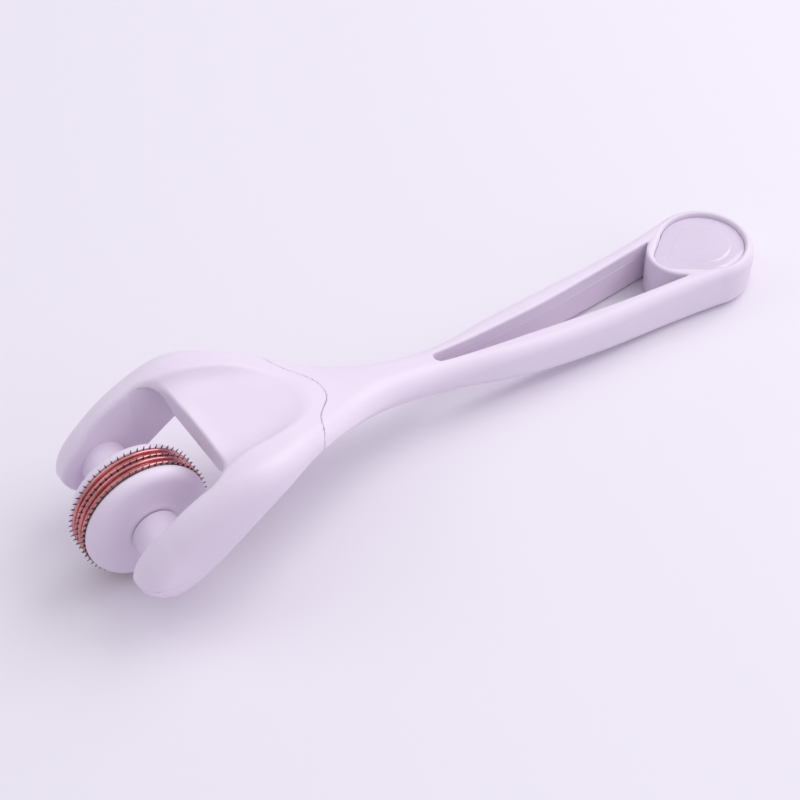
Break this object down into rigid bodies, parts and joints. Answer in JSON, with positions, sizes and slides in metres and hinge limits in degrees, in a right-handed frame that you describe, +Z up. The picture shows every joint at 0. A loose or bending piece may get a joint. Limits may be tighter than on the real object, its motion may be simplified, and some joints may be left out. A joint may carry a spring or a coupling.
{
  "type": "derma roller",
  "caption": "Hand-held needle roller for skin care: a slotted plastic handle, a plug-in fork head with a thumb dish and a free-turning roller of needle discs.",
  "frame": {"origin": "under the middle of the bounding box, on the surface the object lies on", "axes": "+X along the length from the roller to the tail, +Y along the roller axis, +Z up from the surface"},
  "size_m": [0.15, 0.038, 0.0272],
  "materials": {
    "lilac_plastic": "satin moulded plastic, pale lilac",
    "clear_insert": "glossy translucent resin",
    "tray_plastic": "plain moulded plastic",
    "inner_plastic": "natural nylon",
    "bush_plastic": "white acetal",
    "copper_metal": "rose copper plating, turned",
    "needle_steel": "etched steel sheet",
    "pin_steel": "ground steel"
  },
  "bodies": {
    "handle": {"handle_lower_shell": "lilac_plastic", "handle_upper_shell": "lilac_plastic", "socket_liner": "inner_plastic", "tail_insert": "clear_insert", "insert_tray": "tray_plastic"},
    "head": {"fork_head": "lilac_plastic", "tip_cap_left": "lilac_plastic", "tip_cap_right": "lilac_plastic", "axle_boss_left": "lilac_plastic", "axle_boss_right": "lilac_plastic", "axle_pin": "pin_steel", "thrust_washer_left": "pin_steel", "thrust_washer_right": "pin_steel"},
    "roller": {"roller_core": "inner_plastic", "needle_disc_left": "needle_steel", "needle_disc_middle": "needle_steel", "needle_disc_right": "needle_steel", "spacer_ring_left": "copper_metal", "spacer_ring_right": "copper_metal", "roller_dome_left": "lilac_plastic", "roller_dome_right": "lilac_plastic", "roller_bush_left": "bush_plastic", "roller_bush_right": "bush_plastic"}
  },
  "joints": [
    {"name": "head_release", "type": "slide", "parent": "handle", "child": "head", "axis": [-0.9336, 0, 0.3584], "range_m": [0, 0.02]},
    {"name": "roller_spin", "type": "hinge", "parent": "head", "child": "roller", "pos_m": [-0.06285, 0, 0.01215], "axis": [0, 1, 0], "continuous": true}
  ]
}
